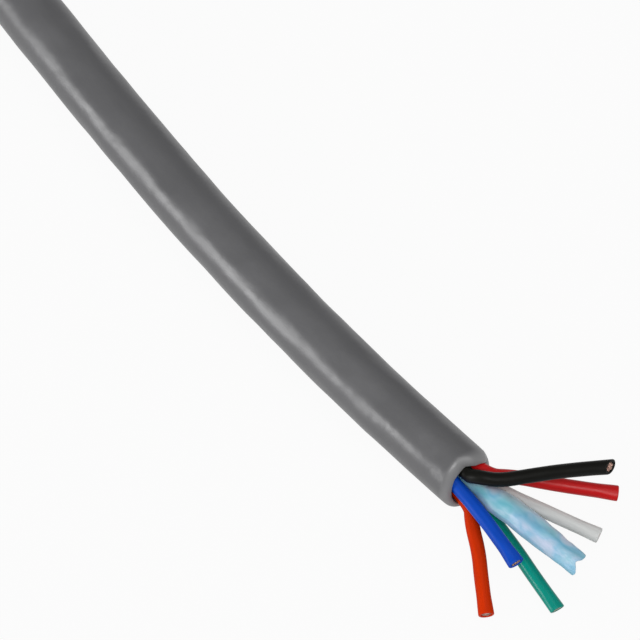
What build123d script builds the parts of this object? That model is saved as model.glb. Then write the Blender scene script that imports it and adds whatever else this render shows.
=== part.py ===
from build123d import *

import os
from math import ceil, cos, degrees, pi, radians, sin, tan

# A cut length of multiconductor cable that lies on the plane z = 0, in millimetres. Its plain end
# points along -X. Its stripped end points along +X, where six insulated wires and a strip of film
# fan out of the grey jacket.

# Conductor: bare strands, one in the middle and the others round it
strand_diameter = 0.32
strand_gap = 0.01
outer_strand_count = 6

# Insulation of one wire
insulation_clearance = 0.01
insulation_wall = 0.3

# Lay of the wires: they wind round the film inside the jacket
lay_gap = 0.16
lay_length = 85.0
lay_step = 7.0
first_wire_angle = 8.0

# Jacket, whose stripped end is cut at a slant and bevelled
jacket_clearance = 0.04
jacket_wall = 0.95
lip_slant = 17.0
lip_bevel_width = 0.5
lip_bevel_length = 0.8

# Film: one strip, rolled up along the middle of the cable and springing open past the jacket
film_thickness = 0.1
film_width = 4.3
film_clearance = 0.09
film_open_radius = 1.38

# Share of the shorter run beside a corner that its arc takes up
arc_run_share = 0.45

# Radii that follow from those sizes
strand_radius = strand_diameter / 2
strand_ring_radius = strand_diameter + strand_gap
insulation_bore_radius = strand_ring_radius + strand_radius + insulation_clearance
wire_radius = insulation_bore_radius + insulation_wall
lay_radius = 2 * wire_radius + lay_gap
jacket_bore_radius = lay_radius + wire_radius + jacket_clearance
jacket_radius = jacket_bore_radius + jacket_wall
film_roll_radius = lay_radius - wire_radius - film_clearance - film_thickness / 2

# Route of the jacket, from its plain end to the foremost point of its lip
jacket_route = [
    (-52.7, -0.89),
    (-37.4, -2.05),
    (-20.4, -3.1),
    (-3.4, -3.67),
    (13.6, -3.28),
    (26.6, -2.48),
    (37.1, -1.39),
]

# Free ends of the wires in their order round the film: how far each runs straight on past the
# jacket's mouth, then the points of its route
wire_ends = {
    "black": (-0.1, [(37.4, -1.35, 6.5), (39.0, 0.1, 6.6), (41.0, 2.9, 7.4), (43.6, 6.15, 8.7),
                     (46.9, 9.45, 10.4)]),
    "blue": (0.9, [(39.75, -3.3, 4.3), (42.9, -3.63, 4.4), (46.8, -4.15, 4.5)]),
    "orange": (1.7, [(39.7, -4.3, 1.85), (42.5, -5.95, 1.6), (45.2, -7.55, 1.4), (48.35, -9.6, 1.2)]),
    "green": (1.9, [(40.0, -1.85, 1.6), (44.5, -2.2, 1.35), (48.6, -2.8, 1.2), (52.9, -3.35, 1.1)]),
    "white": (1.3, [(39.2, 1.4, 2.65), (43.5, 2.65, 2.75), (46.3, 3.8, 2.85), (49.7, 5.2, 3.05)]),
    "red": (1.3, [(39.15, 2.25, 4.45), (42.05, 4.85, 4.3), (44.5, 7.0, 4.15), (47.6, 9.85, 3.95)]),
}

# Free end of the film
film_route = [
    (40.5, -0.72, 3.75),
    (46.35, 0.16, 3.95),
    (51.6, 1.05, 4.1),
]

up = Vector(0, 0, 1)


def turn_radii(points):
    """Radius of the arc at each corner, as large as the two runs beside it allow."""
    radii = []
    for before, corner, after in zip(points, points[1:], points[2:]):
        run_in = corner - before
        run_out = after - corner
        half_turn = radians(run_in.get_angle(run_out)) / 2
        radii.append(arc_run_share * min(run_in.length, run_out.length) / tan(half_turn))
    return radii


# Middle line of the jacket, and the distance along it to the middle of its mouth
jacket_points = [Vector(x, y, jacket_radius) for x, y in jacket_route]
jacket_radii = turn_radii(jacket_points)
with BuildLine() as jacket_line:
    FilletPolyline(*jacket_points, radius=jacket_radii)
jacket_axis = jacket_line.wire()
lip_reach = jacket_radius * tan(radians(lip_slant))
mouth_distance = jacket_axis.length - lip_reach
print("jacket radii", [round(radius, 1) for radius in jacket_radii])


def axis_at(distance):
    """Point and direction at a distance along the jacket's middle line or straight on past its end."""
    held = min(distance, jacket_axis.length)
    point = jacket_axis.position_at(held, position_mode=PositionMode.LENGTH)
    along = jacket_axis.tangent_at(held, position_mode=PositionMode.LENGTH)
    return point + along * (distance - held), along


def laid_point(wire_angle, distance, twist_distance, radius):
    """Point of a wire in its lay, at an angle counted from the top towards -Y."""
    point, along = axis_at(distance)
    angle = radians(wire_angle + 360 * (twist_distance - mouth_distance) / lay_length)
    side = along.cross(up)
    return point + side * (radius * sin(angle)) + up * (radius * cos(angle))


def wire_points(wire_angle, reach, free_points):
    """Corners of a wire's route: straight at the plain end, then in its lay, then free."""
    station_count = ceil(mouth_distance / lay_step)
    step = mouth_distance / station_count
    corner_radius = lay_radius / cos(pi * step / lay_length)
    points = []
    for station in range(station_count):
        radius = corner_radius if station > 1 else lay_radius
        twist_distance = max(station, 1) * step
        points.append(laid_point(wire_angle, station * step, twist_distance, radius))
    exit_distance = mouth_distance + reach
    points.append(laid_point(wire_angle, exit_distance, exit_distance, lay_radius))
    return points + [Vector(*point) for point in free_points]


def points_beside(points, radii, offset, angle):
    """Corners and radii of a route that keeps the same offset from another one all the way."""
    runs = [(after - before).normalized() for before, after in zip(points, points[1:])]
    across = runs[0].cross(up).normalized()
    out = across * cos(radians(angle)) + runs[0].cross(across) * sin(radians(angle))
    beside = [points[0] + out * offset]
    beside_radii = []
    for corner, radius, run_in, run_out in zip(points[1:], radii, runs, runs[1:]):
        hinge = run_in.cross(run_out).normalized()
        inward = out.dot(hinge.cross(run_in))
        sideways = out.dot(hinge)
        half_turn = radians(run_in.get_angle(run_out)) / 2
        towards = (run_out - run_in).normalized() * (inward / cos(half_turn))
        beside.append(corner + (hinge * sideways + towards) * offset)
        beside_radii.append(radius - inward * offset)
        out = hinge * sideways + hinge.cross(run_out) * inward
    beside.append(points[-1] + out * offset)
    return beside, beside_radii


def save(builder, label):
    """Label a finished piece and write it."""
    builder.part.label = label
    export_step(builder.part, f"parts/{label}.step")


def film_section(radius):
    """Outline of the film rolled to a radius, open at the bottom."""
    half_angle = degrees(film_width / radius) / 2
    start = 90 - half_angle
    with BuildLine() as outline:
        outside = CenterArc((0, 0), radius + film_thickness / 2, start, 2 * half_angle)
        inside = CenterArc((0, 0), radius - film_thickness / 2, start, 2 * half_angle)
        Line(outside @ 0, inside @ 0)
        Line(outside @ 1, inside @ 1)
    make_face(outline.edges())


def section_plane(point, along):
    """Plane across a direction, with its own Y axis pointing up."""
    return Plane(origin=point, x_dir=up.cross(along), z_dir=along)


os.makedirs("parts", exist_ok=True)

# Jacket
mouth, mouth_along = axis_at(mouth_distance)
lip_normal = mouth_along * cos(radians(lip_slant)) + up * sin(radians(lip_slant))
with BuildPart() as outer_jacket:
    with BuildSketch(section_plane(*axis_at(0))):
        Circle(jacket_radius)
        Circle(jacket_bore_radius, mode=Mode.SUBTRACT)
    sweep(path=jacket_axis)
    split(bisect_by=Plane(origin=mouth, z_dir=lip_normal), keep=Keep.BOTTOM)
    lip = outer_jacket.faces().filter_by(GeomType.PLANE).sort_by(Axis.X)[-1]
    chamfer(lip.outer_wire().edges(), lip_bevel_width, lip_bevel_length, reference=lip)
save(outer_jacket, "outer_jacket")

# Film
tail_points = [axis_at(jacket_axis.length)[0]] + [Vector(*point) for point in film_route]
tail_runs = [(after - before).normalized() for before, after in zip(tail_points, tail_points[1:])]
tail_directions = [mouth_along]
tail_directions += [(before + after).normalized() for before, after in zip(tail_runs, tail_runs[1:])]
tail_directions.append(tail_runs[-1])
tail_radii = [film_roll_radius] + [film_open_radius] * len(film_route)
with BuildPart() as film_filler:
    with BuildSketch(section_plane(*axis_at(0))):
        film_section(film_roll_radius)
    sweep(path=jacket_axis)
    for point, along, radius in zip(tail_points, tail_directions, tail_radii):
        with BuildSketch(section_plane(point, along)):
            film_section(radius)
    loft()
save(film_filler, "film_filler")

# Wires: the insulation of each, and its strands
wire_pitch_angle = 360 / len(wire_ends)
strand_pitch_angle = 360 / outer_strand_count
for place, (colour, (reach, free_points)) in enumerate(wire_ends.items()):
    route_points = wire_points(first_wire_angle + place * wire_pitch_angle, reach, free_points)
    route_radii = turn_radii(route_points)
    print(colour, "wire radii", [round(radius, 1) for radius in route_radii])
    with BuildPart() as insulation:
        with BuildLine() as wire_line:
            FilletPolyline(*route_points, radius=route_radii)
        with BuildSketch(section_plane(wire_line.wire() @ 0, wire_line.wire() % 0)):
            Circle(wire_radius)
            Circle(insulation_bore_radius, mode=Mode.SUBTRACT)
        sweep(path=wire_line.wire())
    save(insulation, f"{colour}_insulation")

    for strand_number in range(outer_strand_count + 1):
        offset = strand_ring_radius if strand_number > 0 else 0
        strand_angle = strand_number * strand_pitch_angle
        strand_points, strand_radii = points_beside(route_points, route_radii, offset, strand_angle)
        with BuildPart() as strand:
            with BuildLine() as strand_line:
                FilletPolyline(*strand_points, radius=strand_radii)
            with BuildSketch(section_plane(strand_line.wire() @ 0, strand_line.wire() % 0)):
                Circle(strand_radius)
            sweep(path=strand_line.wire())
        save(strand, f"{colour}_strand_{strand_number + 1}")
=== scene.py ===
from bisect import bisect_right
from collections import namedtuple
from math import atan2, ceil, cos, hypot, pi, radians, sin, tan, tau

import bmesh
import bpy
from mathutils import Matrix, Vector, noise


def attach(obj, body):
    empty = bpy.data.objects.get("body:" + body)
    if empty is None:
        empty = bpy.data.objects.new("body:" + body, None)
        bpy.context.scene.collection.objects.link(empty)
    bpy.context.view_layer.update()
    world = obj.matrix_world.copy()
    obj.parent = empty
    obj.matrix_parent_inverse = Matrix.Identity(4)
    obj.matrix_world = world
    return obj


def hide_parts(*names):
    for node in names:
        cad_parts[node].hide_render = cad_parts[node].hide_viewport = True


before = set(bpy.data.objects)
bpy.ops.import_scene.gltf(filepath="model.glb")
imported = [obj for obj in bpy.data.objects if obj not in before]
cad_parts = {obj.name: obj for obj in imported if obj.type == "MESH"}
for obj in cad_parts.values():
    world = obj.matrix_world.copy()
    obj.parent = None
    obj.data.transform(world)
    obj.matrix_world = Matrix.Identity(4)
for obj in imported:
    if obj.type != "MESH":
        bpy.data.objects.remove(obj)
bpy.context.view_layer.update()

# A short grey multiconductor cable on a white table. Its stripped end fans out six coloured wires and
# a strip of pale blue film. Lengths are in millimetres here and become metres as a piece is laid.

MM = 0.001

# Edges sharper than this stay sharp, and points of a straight piece closer than this are merged
SHARP_ANGLE = radians(50)
MERGE_DISTANCE = 0.0001

# Faces this close to a piece's end are the ones that the cutters left
CUT_DEPTH = 0.015

# Jacket: its tube, and the rim of its plain end
JACKET_RADIUS = 3.55
JACKET_BORE = 2.6
JACKET_SIDES = 112
JACKET_RING_STEP = 0.5
JACKET_BORE_STEP = 1.5
JACKET_BORE_END = 1.0
JACKET_RIM = 0.12
JACKET_RIM_ROUNDING = 0.036

# Jacket's mouth: its slant, the softened lip as distances past the mouth and radii, where the plain skin
# and bore beside the lip end, and the stretch where the bore is a little wider
LIP_SLANT = radians(17)
LIP_SLANT_RUN = 5.0
LIP_PROFILE = [
    (-0.9, 3.548), (-0.75, 3.535), (-0.6, 3.5), (-0.45, 3.43), (-0.32, 3.34), (-0.2, 3.22),
    (-0.1, 3.07), (-0.03, 2.9), (0, 2.76), (-0.02, 2.735), (-0.08, 2.715), (-0.2, 2.702),
]
LIP_SKIN_END = 1.2
LIP_BORE_END = 0.4
MOUTH_FLARE = 0.1
MOUTH_FLARE_START = 6.0
MOUTH_FLARE_RUN = 3.0

# Uneven lip: height, count round the mouth and start of each wave, then the tongue over the red wire
LIP_WAVES = [(0.05, 2, 0.6), (0.04, 3, 2.1), (0.02, 7, 0.0)]
TONGUE_LENGTH = 0.7
TONGUE_RUN = 2.0
TONGUE_ANGLE = radians(-38)
TONGUE_HALF_WIDTH = radians(15)
TONGUE_FADE = radians(27)

# Wavy skin of the jacket: the ridges over the wires, then the height of each dent, how many there are
# to a millimetre along the jacket, how close they are round it and where they start
SKIN_DEPTH = 0.6
SKIN_RIDGE = 0.014
SKIN_DENTS = [(0.06, 0.13, 1.1, 0), (0.036, 0.36, 2.4, 9)]
SKIN_SWELL_LIMIT = 0.03

# Insulation of a wire: its tube, its rim at the plain end and its tip, with finer rings on its free end
WIRE_RADIUS = 0.8
WIRE_BORE = 0.5
WIRE_SIDES = 48
WIRE_RIM = 0.1
WIRE_TIP_SETBACK = 0.025
WIRE_TIP_DROP = 0.03
WIRE_RING_STEP = 1.0
WIRE_LAID_END = 19.0
WIRE_FREE_START = 18.6
WIRE_FREE_END = 0.2
WIRE_FREE_STEP = 0.3
WIRE_BORE_TIP = (0.4, 3.0)
WIRE_BORE_TIP_STEP = 0.4
WIRE_BORE_START = 5.0
WIRE_BORE_STEP = 0.5

# Uneven skin of a wire: share of its radius, and how close the ripples lie along and across it
WIRE_RIPPLE = 0.012
RIPPLE_ALONG = 0.35
RIPPLE_ACROSS = 0.4

# How the cutters left each wire's tip: how much wider it is pinched, which way round that lies, and
# how far its upper side and its left side stand out past the middle
WIRE_TIPS = {
    "black": (0.05, 0.0, -0.12, 0.48),
    "blue": (0.18, 0.0, -0.05, 0.0),
    "orange": (0.1, 0.0, -0.05, 0.0),
    "green": (0.1, -0.3, 0.15, 0.0),
    "white": (0.12, 0.0, 0.1, -0.05),
    "red": (0.14, 0.0, 0.1, -0.05),
}
TIP_PINCH_RUN = 2.6
TIP_FLATTENING = 1.3
TIP_LEAN_RUN = 1.2

# Conductor: one strand in the middle and the others round it, and how far each ends behind the tip
STRAND_RADIUS = 0.16
STRAND_RING = 0.33
STRAND_LAY = 16.0
STRAND_SIDES = 14
STRAND_RING_STEP = 0.5
STRAND_PLAIN_END = 1.0
STRAND_RIM = 0.02
STRAND_TIP_LENGTH = 0.03
STRAND_TIP_DROP = 0.04
STRAND_SETBACKS = [0.03, 0.06, 0.04, 0.07, 0.05, 0.03, 0.06]

# Film: one strip, rolled up in the cable and open past the lip
FILM_WIDTH = 4.3
FILM_THICKNESS = 0.1
FILM_ROLL_RADIUS = 0.82
FILM_OPEN_RADIUS = 1.38
FILM_FREE_LENGTH = 16.4
FILM_COLUMNS = 200
FILM_ROWS = 40
FILM_ROLLED_SHARE = 0.4

# How the film springs open past the mouth: where that starts and how long it takes, for the roll and for
# the looser middle, and how far the middle spreads before it closes up again towards the tip
FILM_OPENING_START = 1.4
FILM_OPENING_RUN = 3.2
FILM_LOOSE_START = 2.0
FILM_LOOSE_RUN = 5.0
FILM_SPREAD = 0.32
FILM_SPREAD_FADE = 9.0

# Crinkles of the film: height, how close along and across, and start, then place across from -1 to 1,
# half width and depth of each crease
FILM_CRINKLES = [(0.11, 0.3, 1.6, 2.0), (0.07, 0.8, 2.6, 5.0)]
FILM_CREASES = [(-0.45, 0.3, 0.1), (0.35, 0.3, 0.06)]

# Ragged tip of the film: place across, half width and length of each point or notch, and the corner that
# is cut away from a place across
FILM_TIP_RUN = 4.0
FILM_TIP_POINTS = [(-0.75, 0.3, 0.25), (-0.2, 0.35, -0.35)]
FILM_CORNER_START = 0.35
FILM_CORNER_CUT = 1.3

# Lay of the wires, which wind round the film inside the jacket
LAY_RADIUS = 1.76
LAY_LENGTH = 85.0
LAY_STEP = 7.0
FIRST_WIRE_ANGLE = radians(8)

# Route of the jacket's middle line, from the plain end to the foremost point of the lip
JACKET_PLAN = [
    (-52.7, -0.89), (-37.4, -2.05), (-20.4, -3.1), (-3.4, -3.67), (13.6, -3.28), (26.6, -2.48),
    (37.1, -1.39),
]
JACKET_ROUTE = [(x, y, JACKET_RADIUS) for x, y in JACKET_PLAN]

# Route of the film's middle line: along the jacket, then out past its lip
FILM_ROUTE = JACKET_ROUTE + [(40.5, -0.72, 3.75), (46.35, 0.16, 3.95), (51.6, 1.05, 4.1)]

# Free ends of the wires in their order round the film: how far each runs straight on past the
# jacket's mouth, then the points of its route
WIRE_ENDS = {
    "black": (-0.1, [(36.9, -1.5, 6.5), (39.0, 0.1, 6.6), (41.0, 2.9, 7.4), (43.6, 6.15, 8.7),
                     (46.75, 9.3, 10.4)]),
    "blue": (0.9, [(39.75, -3.3, 4.3), (42.9, -3.63, 4.4), (47.0, -4.2, 4.5)]),
    "orange": (1.4, [(39.4, -4.08, 1.9), (42.48, -5.64, 1.6), (45.15, -7.55, 1.4), (48.5, -9.7, 1.2)]),
    "green": (1.9, [(40.0, -1.85, 1.6), (44.5, -2.2, 1.35), (48.6, -2.8, 1.2), (52.95, -3.3, 1.1)]),
    "white": (1.3, [(39.45, 0.9, 2.55), (43.5, 2.65, 2.75), (46.3, 3.8, 2.85), (49.85, 5.3, 3.05)]),
    "red": (1.1, [(38.95, 2.2, 4.7), (42.05, 4.85, 4.3), (44.5, 7.0, 4.15), (47.6, 9.85, 3.95)]),
}

# Colour, roughness and reflectance of each wire's insulation, and how much paler its cut is
WIRE_LOOKS = {
    "black": ((0.0045, 0.0045, 0.0035), 0.44, 0.12),
    "blue": ((0.003, 0.058, 0.42), 0.42, 0.1),
    "orange": ((0.53, 0.027, 0.0005), 0.5, 0.05),
    "green": ((0.001, 0.232, 0.18), 0.28, 0.16),
    "white": ((0.6, 0.61, 0.6), 0.4, 0.15),
    "red": ((0.46, 0.004, 0.005), 0.37, 0.24),
}
WIRE_CUT_PALER = 1.15

# Colours of the jacket's skin, of its lip and of its plain cut. The lip's paler grey is partly the cut
# and partly a painted highlight where the lip catches light.
JACKET_GREY = (0.092, 0.092, 0.096)
LIP_CUT_AND_HIGHLIGHT_GREY = (0.2, 0.2, 0.203)
JACKET_CUT_GREY = (0.2, 0.2, 0.205)
LIP_PALE_START = 1.3
LIP_PALE_END = 0.2

# Index of refraction of PVC and of the film
PVC_IOR = 1.5
FILM_IOR = 1.58

# Values that a noise mostly takes
NOISE_SPAN = (0.3, 0.7)

# Table: half its side in metres, how far it lies under the cable, the grey of the light that it gives
# back and how white it looks
TABLE_HALF_SIDE = 4
TABLE_DROP = 0.03
TABLE_GREY = (0.45, 0.45, 0.45, 1)
TABLE_WHITE = 0.94
ROOM_STRENGTH = 0.35

# Soft panels, in metres and watts: place, width, height and power, all facing the cable
PANELS = {
    "front_panel": ((-0.26, -0.74, 0.19), 0.25, 0.4, 3.2),
    "top_panel": ((0.2, 0.15, 0.65), 0.5, 0.5, 1.3),
    "lens_panel": ((0.42, -0.35, 1.18), 0.5, 0.5, 6.6),
}

# Camera: the point in the middle of the picture, the width that the picture takes in there, and its angle
VIEW_TARGET = (10.6, -1.5, 3.55)
VIEW_WIDTH = 70.45
VIEW_TURN = radians(50)
VIEW_TILT = radians(65)

# One place along a line: distance and point in metres, and the directions along, beside and above it
Station = namedtuple("Station", "distance point along side up")


# Laying pieces along routes

def smooth_line(points):
    """Points along the smooth spline that has a route's points as its control points, in metres."""
    curve = bpy.data.curves.new("route", "CURVE")
    curve.dimensions = "3D"
    spline = curve.splines.new("NURBS")
    spline.points.add(len(points) - 1)
    for control, point in zip(spline.points, points):
        control.co = (*(Vector(point) * MM), 1)
    spline.order_u = 3
    spline.use_endpoint_u = True
    spline.resolution_u = 24
    carrier = bpy.data.objects.new("route", curve)
    mesh = bpy.data.meshes.new_from_object(carrier)
    line = [vertex.co.copy() for vertex in mesh.vertices]
    bpy.data.meshes.remove(mesh)
    bpy.data.objects.remove(carrier)
    bpy.data.curves.remove(curve)
    return line


def route_track(points):
    """Stations along the smooth line of a route, whose directions are carried along without twist."""
    line = smooth_line(points)
    track = []
    distance = 0.0
    up = Vector((0, 0, 1))
    for place, point in enumerate(line):
        before = line[max(place - 1, 0)]
        after = line[min(place + 1, len(line) - 1)]
        along = (after - before).normalized()
        up = (up - along * up.dot(along)).normalized()
        distance += (point - before).length
        track.append(Station(distance, point, along, up.cross(along), up))
    return track


def track_length(track):
    """Length of a track in millimetres."""
    return track[-1].distance / MM


def place_on(track, straight):
    """Where a point of a straight piece, made along X in millimetres, lies along a track."""
    reach = straight.x * MM
    last = len(track) - 2
    place = min(max(bisect_right(track, reach, key=lambda station: station.distance) - 1, 0), last)
    start, point, along, side, up = track[place]
    end, next_point, next_along, next_side, next_up = track[place + 1]
    part = min(max((reach - start) / (end - start), 0), 1)
    beyond = reach - min(max(reach, 0), track[-1].distance)
    middle = point.lerp(next_point, part) + along.lerp(next_along, part) * beyond
    offset = side.lerp(next_side, part) * straight.y + up.lerp(next_up, part) * straight.z
    return middle + offset * MM


def jacket_track():
    """Track of the jacket, and the distance along it to the middle of its mouth."""
    track = route_track(JACKET_ROUTE)
    return track, track_length(track) - JACKET_RADIUS * tan(LIP_SLANT)


def wire_track(colour):
    """Track of a wire: straight at the plain end, then in its lay, then free."""
    place = list(WIRE_ENDS).index(colour)
    reach, free_points = WIRE_ENDS[colour]
    track, mouth = jacket_track()
    count = ceil(mouth / LAY_STEP)
    step = mouth / count
    corner_radius = LAY_RADIUS / cos(pi * step / LAY_LENGTH)
    points = []
    for station in range(count + 1):
        distance = station * step if station < count else mouth + reach
        twist_distance = max(distance, step)
        angle = FIRST_WIRE_ANGLE + tau * place / len(WIRE_ENDS)
        angle += tau * (twist_distance - mouth) / LAY_LENGTH
        radius = corner_radius if 1 < station < count else LAY_RADIUS
        straight = Vector((distance, -radius * sin(angle), radius * cos(angle)))
        points.append(place_on(track, straight) / MM)
    return route_track(points + free_points)


def ease(value):
    """Smooth step from 0 to 1."""
    held = min(max(value, 0), 1)
    return held * held * (3 - 2 * held)


def mound(value, place, half_width):
    """Smooth rise from 0 to 1 and back round a place."""
    return ease(1 - abs(value - place) / half_width)


def rings(radius, start, end, step):
    """Profile points of one radius at even distances from start to end, both included."""
    count = max(int(abs(end - start) / step), 1)
    return [(start + (end - start) * number / count, radius) for number in range(count + 1)]


def turned_piece(profile, sides, closed=True):
    """A straight piece turned about X from a profile of distances along it and radii."""
    bm = bmesh.new()
    corners = [bm.verts.new((reach, 0, radius)) for reach, radius in profile]
    ends = corners[1:] + corners[:1] if closed else corners[1:]
    edges = [bm.edges.new(pair) for pair in zip(corners, ends)]
    bmesh.ops.spin(
        bm, geom=corners + edges, cent=(0, 0, 0), axis=(1, 0, 0), dvec=(0, 0, 0), angle=tau,
        steps=sides, use_merge=True, use_duplicate=False,
    )
    bmesh.ops.remove_doubles(bm, verts=bm.verts, dist=MERGE_DISTANCE)
    bmesh.ops.recalc_face_normals(bm, faces=bm.faces)
    return bm


def add_piece(bm, name, materials):
    """Make a finished shape a smooth-shaded piece of the cable."""
    mesh = bpy.data.meshes.new(name)
    bm.to_mesh(mesh)
    bm.free()
    for material in materials:
        mesh.materials.append(material)
    mesh.polygons.foreach_set("use_smooth", [True] * len(mesh.polygons))
    mesh.set_sharp_from_angle(angle=SHARP_ANGLE)
    piece = bpy.data.objects.new(name, mesh)
    bpy.context.collection.objects.link(piece)
    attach(piece, "root")
    return piece


def lay_piece(bm, track, shape):
    """Keep a straight piece's own coordinates for its finish, shape it, lay it along its track."""
    straight = bm.verts.layers.float_vector.new("straight")
    for vertex in bm.verts:
        vertex[straight] = vertex.co * MM
        vertex.co = place_on(track, shape(vertex.co))


# Parts of finishes

def new_finish(name, **sockets):
    """A material whose shader has constant values set on its own sockets."""
    material = bpy.data.materials.new(name)
    material.use_nodes = True
    nodes = material.node_tree.nodes
    shader = nodes["Principled BSDF"]
    for socket, value in sockets.items():
        shader.inputs[socket.replace("_", " ")].default_value = value
    return material, nodes, material.node_tree.links, shader


def feed(links, socket, value):
    """Link a socket to another node's output, or set it to a constant."""
    if isinstance(value, bpy.types.NodeSocket):
        links.new(value, socket)
    else:
        socket.default_value = value


def straight_coordinates(nodes, links, scale=(1, 1, 1)):
    """The piece's own straight coordinates, scaled, for a pattern that follows it round its bends."""
    attribute = nodes.new("ShaderNodeAttribute")
    attribute.attribute_name = "straight"
    mapping = nodes.new("ShaderNodeMapping")
    mapping.inputs["Scale"].default_value = scale
    links.new(attribute.outputs["Vector"], mapping.inputs["Vector"])
    return mapping.outputs["Vector"]


def straight_axes(nodes, links):
    """The piece's own straight coordinates, one output for each axis."""
    separate = nodes.new("ShaderNodeSeparateXYZ")
    links.new(straight_coordinates(nodes, links), separate.inputs["Vector"])
    return separate.outputs


def noise_at(nodes, links, vector, size, detail, roughness=0.5):
    """Noise with a number of features per metre."""
    texture = nodes.new("ShaderNodeTexNoise")
    texture.inputs["Scale"].default_value = size
    texture.inputs["Detail"].default_value = detail
    texture.inputs["Roughness"].default_value = roughness
    links.new(vector, texture.inputs["Vector"])
    return texture.outputs["Fac"]


def ramp_of(nodes, links, factor, stops):
    """Colour ramp over places and colours."""
    ramp = nodes.new("ShaderNodeValToRGB")
    while len(ramp.color_ramp.elements) < len(stops):
        ramp.color_ramp.elements.new(0.5)
    for element, (place, colour) in zip(ramp.color_ramp.elements, stops):
        element.position = place
        element.color = (*colour, 1)
    links.new(factor, ramp.inputs["Fac"])
    return ramp.outputs["Color"]


def range_of(nodes, links, value, span, result=(0, 1), interpolation="LINEAR"):
    """A value's span, spread over a range of results."""
    spread = nodes.new("ShaderNodeMapRange")
    spread.interpolation_type = interpolation
    spread.inputs["From Min"].default_value, spread.inputs["From Max"].default_value = span
    spread.inputs["To Min"].default_value, spread.inputs["To Max"].default_value = result
    links.new(value, spread.inputs["Value"])
    return spread.outputs["Result"]


def math_of(nodes, links, operation, *values):
    """Result of an operation on constants and outputs of other nodes."""
    node = nodes.new("ShaderNodeMath")
    node.operation = operation
    for socket, value in zip(node.inputs, values):
        feed(links, socket, value)
    return node.outputs["Value"]


def mix_of(nodes, links, factor, first, second):
    """Mix of two colours, each a constant or an output of another node."""
    node = nodes.new("ShaderNodeMix")
    node.data_type = "RGBA"
    feed(links, node.inputs["Factor"], factor)
    feed(links, node.inputs["A"], first)
    feed(links, node.inputs["B"], second)
    return node.outputs["Result"]


def bump_from(nodes, links, height, shader, strength, distance, under=None):
    """Bump of a height in metres on a shader, over another bump or none."""
    bump = nodes.new("ShaderNodeBump")
    bump.inputs["Strength"].default_value = strength
    bump.inputs["Distance"].default_value = distance
    links.new(height, bump.inputs["Height"])
    if under is not None:
        links.new(under, bump.inputs["Normal"])
    links.new(bump.outputs["Normal"], shader.inputs["Normal"])
    return bump.outputs["Normal"]


def tinted(colour, share):
    """A colour made lighter or darker by a share."""
    return tuple(min(channel * share, 1) for channel in colour)


# Finishes

def jacket_finish(mouth):
    """Satin grey PVC with faint drawing lines and soft waves, paler at the lip: partly where it was cut,
    partly a painted highlight where the lip catches light.
    """
    material, nodes, links, shader = new_finish("jacket_grey_pvc", IOR=PVC_IOR, Specular_IOR_Level=0.62)
    drawn = straight_coordinates(nodes, links, (0.12, 1, 1))
    even = straight_coordinates(nodes, links)
    streaks = noise_at(nodes, links, drawn, 900, 4)
    clouds = noise_at(nodes, links, even, 180, 3)
    grain = noise_at(nodes, links, even, 6000, 2)
    half_clouds = math_of(nodes, links, "MULTIPLY", clouds, 0.5)
    mottle = math_of(nodes, links, "MULTIPLY_ADD", streaks, 0.5, half_clouds)
    stops = [(0.3, tinted(JACKET_GREY, 0.93)), (0.52, JACKET_GREY), (0.72, tinted(JACKET_GREY, 1.08))]
    body = ramp_of(nodes, links, mottle, stops)
    # Paler grey towards the lip: partly the cut, partly a painted highlight laid over the skin up to the
    # mouth
    pale_span = ((mouth - LIP_PALE_START) * MM, (mouth - LIP_PALE_END) * MM)
    along = straight_axes(nodes, links)["X"]
    near_lip = range_of(nodes, links, along, pale_span, interpolation="SMOOTHSTEP")
    colour = mix_of(nodes, links, near_lip, body, (*LIP_CUT_AND_HIGHLIGHT_GREY, 1))
    links.new(colour, shader.inputs["Base Color"])
    links.new(range_of(nodes, links, clouds, NOISE_SPAN, (0.32, 0.42)), shader.inputs["Roughness"])
    dents = bump_from(nodes, links, clouds, shader, 0.75, 0.0003)
    waves = bump_from(nodes, links, streaks, shader, 0.25, 0.00004, dents)
    bump_from(nodes, links, grain, shader, 0.12, 0.000012, waves)
    return material


def cut_finish(name, colour):
    """Freshly cut PVC: matt, with fine marks of the blade."""
    material, nodes, links, shader = new_finish(name, IOR=PVC_IOR, Specular_IOR_Level=0.2)
    even = straight_coordinates(nodes, links)
    drawn = straight_coordinates(nodes, links, (1, 0.25, 1))
    marks = noise_at(nodes, links, drawn, 5200, 3)
    clouds = noise_at(nodes, links, even, 1200, 2)
    stops = [(0.3, tinted(colour, 0.85)), (0.7, tinted(colour, 1.1))]
    links.new(ramp_of(nodes, links, clouds, stops), shader.inputs["Base Color"])
    links.new(range_of(nodes, links, clouds, NOISE_SPAN, (0.5, 0.65)), shader.inputs["Roughness"])
    bump_from(nodes, links, marks, shader, 0.35, 0.00003)
    return material


def insulation_finish(name, colour, roughness, reflectance):
    """Glossy coloured PVC with faint drawing lines and slightly uneven gloss."""
    material, nodes, links, shader = new_finish(name, IOR=PVC_IOR, Specular_IOR_Level=reflectance)
    drawn = straight_coordinates(nodes, links, (0.08, 1, 1))
    even = straight_coordinates(nodes, links)
    streaks = noise_at(nodes, links, drawn, 2600, 3)
    clouds = noise_at(nodes, links, even, 500, 3)
    stops = [(0.3, tinted(colour, 0.88)), (0.5, colour), (0.75, tinted(colour, 1.1))]
    links.new(ramp_of(nodes, links, streaks, stops), shader.inputs["Base Color"])
    gloss = range_of(nodes, links, clouds, NOISE_SPAN, (roughness - 0.05, roughness + 0.07))
    links.new(gloss, shader.inputs["Roughness"])
    waves = bump_from(nodes, links, streaks, shader, 0.2, 0.00002)
    bump_from(nodes, links, clouds, shader, 0.15, 0.00006, waves)
    return material


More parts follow.
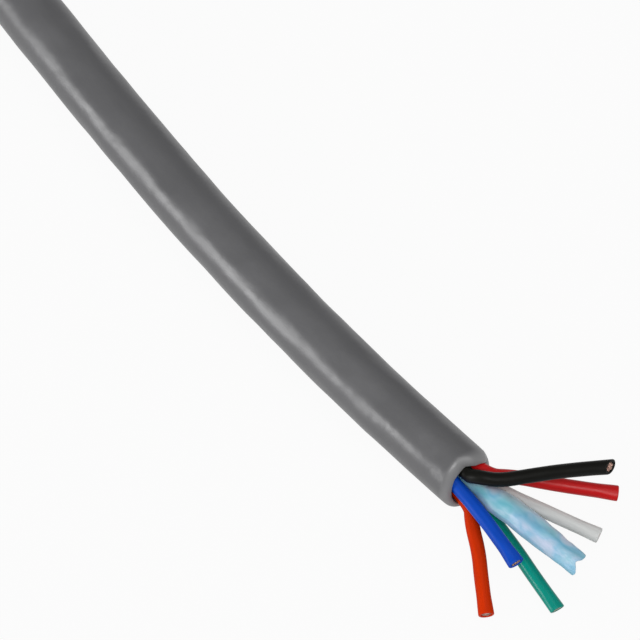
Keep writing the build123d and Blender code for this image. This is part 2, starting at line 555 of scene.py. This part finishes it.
def copper_finish():
    """Drawn bare copper, brighter along its draw lines and dulled in places."""
    material, nodes, links, shader = new_finish("bare_copper", Metallic=1.0)
    drawn = straight_coordinates(nodes, links, (0.05, 1, 1))
    even = straight_coordinates(nodes, links)
    lines = noise_at(nodes, links, drawn, 9000, 3)
    dull = noise_at(nodes, links, even, 2200, 3)
    stops = [(0.3, (0.2, 0.11, 0.09)), (0.55, (0.4, 0.24, 0.19)), (0.75, (0.66, 0.47, 0.4))]
    links.new(ramp_of(nodes, links, dull, stops), shader.inputs["Base Color"])
    links.new(range_of(nodes, links, lines, NOISE_SPAN, (0.22, 0.42)), shader.inputs["Roughness"])
    bump_from(nodes, links, lines, shader, 0.2, 0.00001)
    return material


def film_bands(nodes, links, clouds, mouth, length):
    """Place across the film from 0 to 1, drifting along it and blurred by clouds, which the film's
    painted highlight and shade follow.
    """
    axes = straight_axes(nodes, links)
    half_width = 0.5 * FILM_WIDTH * MM
    across = range_of(nodes, links, axes["Y"], (-half_width, half_width))
    drift = range_of(nodes, links, axes["X"], (mouth * MM, length * MM), (0.1, -0.25))
    drifted = math_of(nodes, links, "ADD", across, drift)
    return math_of(nodes, links, "MULTIPLY_ADD", clouds, 0.45, drifted)


def film_finish(mouth, length):
    """Pale blue film, with a painted highlight whitish along its raised middle, painted shade in the
    darker teal beside it, and lilac at its far edge.
    """
    material, nodes, links, shader = new_finish("pale_blue_film", IOR=FILM_IOR, Specular_IOR_Level=0.25)
    drawn = straight_coordinates(nodes, links, (0.5, 1, 1))
    clouds = noise_at(nodes, links, drawn, 700, 2)
    fine = noise_at(nodes, links, drawn, 1500, 3, 0.6)
    bands = film_bands(nodes, links, clouds, mouth, length)
    # Bands across the film: its lighter and darker blues are painted light and shade, the darkest teal at
    # 0.64 being painted shade beside the ridge
    lit_and_shaded_blues = [
        (0.0, (0.22, 0.46, 0.58)), (0.22, (0.28, 0.5, 0.63)), (0.42, (0.33, 0.51, 0.64)),
        (0.52, (0.27, 0.47, 0.6)), (0.64, (0.15, 0.4, 0.53)), (0.76, (0.3, 0.56, 0.68)),
        (0.92, (0.52, 0.6, 0.68)),
    ]
    body = ramp_of(nodes, links, bands, lit_and_shaded_blues)
    bare = (0, 0, 0)
    highlight_white = (0.75, 0.75, 0.75)
    # Whitish haze along the ridge is a painted highlight, broken up in patches
    ridge_highlight = ramp_of(nodes, links, bands, [(0.14, bare), (0.34, highlight_white), (0.44, highlight_white), (0.56, bare)])
    patches = ramp_of(nodes, links, fine, [(0.42, bare), (0.62, (1, 1, 1))])
    highlight_share = math_of(nodes, links, "MULTIPLY", ridge_highlight, patches)
    highlighted_body = mix_of(nodes, links, highlight_share, body, (0.58, 0.65, 0.8, 1))
    tints = [
        (0.36, (0.1, 0.42, 0.46)), (0.46, (0.25, 0.48, 0.59)), (0.56, (0.14, 0.37, 0.57)),
        (0.68, (0.48, 0.48, 0.62)),
    ]
    spots = noise_at(nodes, links, straight_coordinates(nodes, links, (0.6, 1, 1)), 520, 1)
    colour = mix_of(nodes, links, 0.42, highlighted_body, ramp_of(nodes, links, spots, tints))
    links.new(colour, shader.inputs["Base Color"])
    links.new(range_of(nodes, links, fine, NOISE_SPAN, (0.26, 0.4)), shader.inputs["Roughness"])
    bump_from(nodes, links, clouds, shader, 0.1, 0.00008)
    return material


# Pieces

def jacket_skin(point, radius, angle, mouth):
    """Radius of the jacket at a point: dented outside, true inside."""
    if radius <= JACKET_RADIUS - SKIN_DEPTH:
        return radius
    lay = angle - tau * (point.x - mouth) / LAY_LENGTH - FIRST_WIRE_ANGLE
    swell = SKIN_RIDGE * cos(len(WIRE_ENDS) * lay)
    for height, along, around, start in SKIN_DENTS:
        spot = Vector((point.x * along, cos(angle) * around, sin(angle) * around + start))
        swell += height * noise.noise(spot)
    return radius + min(swell, SKIN_SWELL_LIMIT)


def lip_reach(point, radius, angle, mouth):
    """Distance along the jacket of a point, once its lip is slanted and uneven."""
    slant = -radius * cos(angle) * tan(LIP_SLANT)
    uneven = sum(height * sin(count * angle + start) for height, count, start in LIP_WAVES)
    beside_tongue = max(abs(angle - TONGUE_ANGLE) - TONGUE_HALF_WIDTH, 0)
    tongue = TONGUE_LENGTH * ease(1 - beside_tongue / TONGUE_FADE)
    near_lip = ease((point.x - mouth + LIP_SLANT_RUN) / LIP_SLANT_RUN)
    near_tongue = ease((point.x - mouth + TONGUE_RUN) / TONGUE_RUN)
    return point.x + near_lip * (slant + uneven) + near_tongue * tongue


def outer_jacket():
    """Jacket: a tube with a square plain end and a slanted, softened lip."""
    track, mouth = jacket_track()
    profile = [(0, JACKET_BORE), (0, JACKET_RADIUS - JACKET_RIM)]
    profile.append((JACKET_RIM_ROUNDING, JACKET_RADIUS - JACKET_RIM_ROUNDING))
    profile += rings(JACKET_RADIUS, JACKET_RIM, mouth - LIP_SKIN_END, JACKET_RING_STEP)
    profile += [(mouth + reach, radius) for reach, radius in LIP_PROFILE]
    for reach, bore in rings(JACKET_BORE, mouth - LIP_BORE_END, JACKET_BORE_END, JACKET_BORE_STEP):
        flared = ease((reach - mouth + MOUTH_FLARE_START) / MOUTH_FLARE_RUN)
        profile.append((reach, bore + MOUTH_FLARE * flared))
    bm = turned_piece(profile, JACKET_SIDES)
    for face in bm.faces:
        face.material_index = 1 if face.calc_center_median().x < CUT_DEPTH else 0

    def shape(point):
        radius = hypot(point.y, point.z)
        angle = atan2(-point.y, point.z)
        scale = jacket_skin(point, radius, angle, mouth) / radius
        return Vector((lip_reach(point, radius, angle, mouth), point.y * scale, point.z * scale))

    lay_piece(bm, track, shape)
    piece = add_piece(bm, "jacket", [jacket_finish(mouth), cut_finish("jacket_cut_pvc", JACKET_CUT_GREY)])
    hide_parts("outer_jacket")


def tip_shaper(colour, track):
    """How the cutters pinched and slanted a wire's tip, on points of the straight wire."""
    wider, turn, upper, left = WIRE_TIPS[colour]
    length = track_length(track)
    end = track[-1]
    level = Vector((0, 0, 1)).cross(end.along).normalized()
    angle = atan2(level.dot(end.up), level.dot(end.side)) + turn
    flat = Vector((0, cos(angle), sin(angle)))
    thick = Vector((0, -sin(angle), cos(angle)))

    def shape(point):
        pinched = wider * ease((point.x - length + TIP_PINCH_RUN) / TIP_PINCH_RUN)
        wide = point.dot(flat) * (1 + pinched)
        high = point.dot(thick) * (1 - TIP_FLATTENING * pinched)
        lean = upper * point.dot(thick) + left * point.dot(flat)
        leaning = lean * ease((point.x - length + TIP_LEAN_RUN) / TIP_LEAN_RUN)
        return Vector((point.x + leaning, 0, 0)) + flat * wide + thick * high

    return shape


def insulation_profile(length):
    """Profile of a straight wire's insulation: out along its skin and back along its bore."""
    profile = [(0, WIRE_BORE), (0, WIRE_RADIUS - WIRE_RIM), (WIRE_RIM, WIRE_RADIUS)]
    profile += rings(WIRE_RADIUS, WIRE_RING_STEP, length - WIRE_LAID_END, WIRE_RING_STEP)
    profile += rings(WIRE_RADIUS, length - WIRE_FREE_START, length - WIRE_FREE_END, WIRE_FREE_STEP)
    profile.append((length - WIRE_RIM, WIRE_RADIUS))
    profile.append((length - WIRE_TIP_SETBACK, WIRE_RADIUS - WIRE_TIP_DROP))
    profile.append((length, WIRE_RADIUS - WIRE_RIM))
    profile.append((length, WIRE_BORE + WIRE_RIM))
    profile.append((length - WIRE_RIM, WIRE_BORE))
    tip_start, tip_end = WIRE_BORE_TIP
    profile += rings(WIRE_BORE, length - tip_start, length - tip_end, WIRE_BORE_TIP_STEP)
    profile += rings(WIRE_BORE, length - WIRE_BORE_START, WIRE_RING_STEP, WIRE_BORE_STEP)
    return profile


def insulation(colour, track, finish, cut):
    """Insulation of one wire: a long tube whose tip was cut off with side cutters."""
    length = track_length(track)
    bm = turned_piece(insulation_profile(length), WIRE_SIDES)
    for face in bm.faces:
        reach = face.calc_center_median().x
        face.material_index = 1 if reach < CUT_DEPTH or reach > length - CUT_DEPTH else 0
    pinch = tip_shaper(colour, track)
    seed = 7.3 * len(colour) + ord(colour[0])

    def shape(point):
        spot = Vector((point.x * RIPPLE_ALONG, seed, point.z * RIPPLE_ACROSS))
        ripple = 1 + WIRE_RIPPLE * noise.noise(spot)
        return pinch(Vector((point.x, point.y * ripple, point.z * ripple)))

    lay_piece(bm, track, shape)
    piece = add_piece(bm, f"{colour}_wire_insulation", [finish, cut])
    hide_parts(f"{colour}_insulation")


def straight_strand(number, length):
    """One strand of a straight wire: the first in the middle, the others wound round it."""
    end = length - STRAND_SETBACKS[number]
    profile = [(0, 0), (0, STRAND_RADIUS - STRAND_RIM), (STRAND_RIM, STRAND_RADIUS)]
    profile += rings(STRAND_RADIUS, STRAND_PLAIN_END, end - STRAND_PLAIN_END, STRAND_RING_STEP)
    profile.append((end - STRAND_TIP_LENGTH, STRAND_RADIUS))
    profile.append((end, STRAND_RADIUS - STRAND_TIP_DROP))
    profile.append((end, 0))
    strand = turned_piece(profile, STRAND_SIDES, closed=False)
    ring = STRAND_RING if number else 0
    for vertex in strand.verts:
        angle = tau * number / (len(STRAND_SETBACKS) - 1) + tau * vertex.co.x / STRAND_LAY
        vertex.co += Vector((0, ring * cos(angle), ring * sin(angle)))
    return strand


def conductor(colour, track, finish):
    """Conductor of one wire: bare strands, cut off with the insulation."""
    bm = bmesh.new()
    for number in range(len(STRAND_SETBACKS)):
        strand = straight_strand(number, track_length(track))
        mesh = bpy.data.meshes.new("strand")
        strand.to_mesh(mesh)
        strand.free()
        bm.from_mesh(mesh)
        bpy.data.meshes.remove(mesh)
    lay_piece(bm, track, tip_shaper(colour, track))
    piece = add_piece(bm, f"{colour}_conductor", [finish])
    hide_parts(*(f"{colour}_strand_{number}" for number in range(1, 8)))


def film_point(reach, across, mouth, length):
    """Where a point of the flat film lies once it is rolled, opened, crinkled and torn off."""
    opened = ease((reach - mouth - FILM_OPENING_START) / FILM_OPENING_RUN)
    loose = ease((reach - mouth - FILM_LOOSE_START) / FILM_LOOSE_RUN)
    spread = FILM_SPREAD * loose * ease((length - reach) / FILM_SPREAD_FADE)
    radius = FILM_ROLL_RADIUS + (FILM_OPEN_RADIUS - FILM_ROLL_RADIUS) * opened + spread
    angle = 0.5 * FILM_WIDTH / radius * across
    crinkle = 0.0
    for height, close_along, close_across, start in FILM_CRINKLES:
        crinkle += height * noise.noise(Vector((reach * close_along, across * close_across, start)))
    for place, half_width, depth in FILM_CREASES:
        crinkle -= depth * mound(across, place, half_width)
    radius += loose * crinkle
    past_corner = max((across - FILM_CORNER_START) / (1 - FILM_CORNER_START), 0)
    ragged = -FILM_CORNER_CUT * past_corner ** 2
    for place, half_width, stretch in FILM_TIP_POINTS:
        ragged += stretch * mound(across, place, half_width)
    torn = reach + ragged * ease((reach - length + FILM_TIP_RUN) / FILM_TIP_RUN)
    return Vector((torn, radius * sin(angle), radius * cos(angle)))


def film_strip():
    """Film: rolled up inside the cable, sprung open to a crinkled half-round past the lip."""
    track = route_track(FILM_ROUTE)
    length = track_length(track)
    mouth = length - FILM_FREE_LENGTH
    bm = bmesh.new()
    bmesh.ops.create_grid(bm, x_segments=FILM_COLUMNS, y_segments=FILM_ROWS, size=0.5)
    straight = bm.verts.layers.float_vector.new("straight")
    for vertex in bm.verts:
        share = vertex.co.x + 0.5
        across = 2 * vertex.co.y
        reach = mouth * share / FILM_ROLLED_SHARE
        if share >= FILM_ROLLED_SHARE:
            free_share = (share - FILM_ROLLED_SHARE) / (1 - FILM_ROLLED_SHARE)
            reach = mouth + FILM_FREE_LENGTH * free_share
        vertex[straight] = Vector((reach, 0.5 * FILM_WIDTH * across, 0)) * MM
        vertex.co = place_on(track, film_point(reach, across, mouth, length))
    bmesh.ops.recalc_face_normals(bm, faces=bm.faces)
    bmesh.ops.solidify(bm, geom=bm.faces[:], thickness=FILM_THICKNESS * MM)
    piece = add_piece(bm, "film", [film_finish(mouth, length)])
    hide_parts("film_filler")


outer_jacket()
film_strip()
copper = copper_finish()
for wire_colour, (shade, roughness, reflectance) in WIRE_LOOKS.items():
    wire_line = wire_track(wire_colour)
    wire_finish = insulation_finish(f"{wire_colour}_pvc", shade, roughness, reflectance)
    wire_cut = cut_finish(f"{wire_colour}_cut_pvc", tinted(shade, WIRE_CUT_PALER))
    insulation(wire_colour, wire_line, wire_finish, wire_cut)
    conductor(wire_colour, wire_line, copper)


# Table, light and camera

def seen_directly(nodes, links):
    """One where the camera, a gloss or a clear piece sees a surface, nought where it only gives light."""
    path = nodes.new("ShaderNodeLightPath").outputs
    opaque = math_of(nodes, links, "MAXIMUM", path["Is Camera Ray"], path["Is Glossy Ray"])
    return math_of(nodes, links, "MAXIMUM", opaque, path["Is Transmission Ray"])


def white_table():
    """Table that looks white, gives back a plain grey's light and keeps a faint shadow of the cable."""
    bm = bmesh.new()
    bmesh.ops.create_grid(bm, x_segments=1, y_segments=1, size=TABLE_HALF_SIDE)
    bmesh.ops.translate(bm, verts=bm.verts, vec=(0, 0, -TABLE_DROP * MM))
    mesh = bpy.data.meshes.new("table")
    bm.to_mesh(mesh)
    bm.free()
    material, nodes, links, shader = new_finish("white_table", Roughness=0.9, Base_Color=TABLE_GREY)
    glow = nodes.new("ShaderNodeEmission")
    white = math_of(nodes, links, "MULTIPLY", seen_directly(nodes, links), TABLE_WHITE)
    mix = nodes.new("ShaderNodeMixShader")
    links.new(white, mix.inputs["Fac"])
    links.new(shader.outputs["BSDF"], mix.inputs[1])
    links.new(glow.outputs["Emission"], mix.inputs[2])
    links.new(mix.outputs["Shader"], nodes["Material Output"].inputs["Surface"])
    mesh.materials.append(material)
    table = bpy.data.objects.new("table", mesh)
    bpy.context.collection.objects.link(table)


def pale_room():
    """Even pale light from all round."""
    world = bpy.data.worlds.new("pale_room")
    world.use_nodes = True
    background = world.node_tree.nodes["Background"]
    background.inputs["Color"].default_value = (1, 1, 1, 1)
    background.inputs["Strength"].default_value = ROOM_STRENGTH
    bpy.context.scene.world = world


def soft_panel(name, place, width, height, power):
    """A soft studio panel that faces the cable."""
    light = bpy.data.lights.new(name, "AREA")
    light.shape = "RECTANGLE"
    light.size = width
    light.size_y = height
    light.energy = power
    lamp = bpy.data.objects.new(name, light)
    lamp.location = place
    lamp.rotation_euler = (-Vector(place)).to_track_quat("-Z", "Y").to_euler()
    bpy.context.collection.objects.link(lamp)


def photo_camera():
    """Long lens at the photograph's angle."""
    camera = bpy.data.cameras.new("camera")
    camera.lens = 500
    camera.sensor_width = 36
    camera.clip_end = 10
    flat = cos(VIEW_TILT)
    towards = Vector((sin(VIEW_TURN) * flat, -cos(VIEW_TURN) * flat, sin(VIEW_TILT)))
    distance = VIEW_WIDTH * MM * camera.lens / camera.sensor_width
    eye = bpy.data.objects.new("camera", camera)
    eye.location = Vector(VIEW_TARGET) * MM + towards * distance
    eye.rotation_euler = (-towards).to_track_quat("-Z", "Y").to_euler()
    bpy.context.collection.objects.link(eye)
    bpy.context.scene.camera = eye


white_table()
pale_room()
for panel, (place, width, height, power) in PANELS.items():
    soft_panel(panel, place, width, height, power)
photo_camera()
bpy.context.scene.view_settings.view_transform = "Standard"
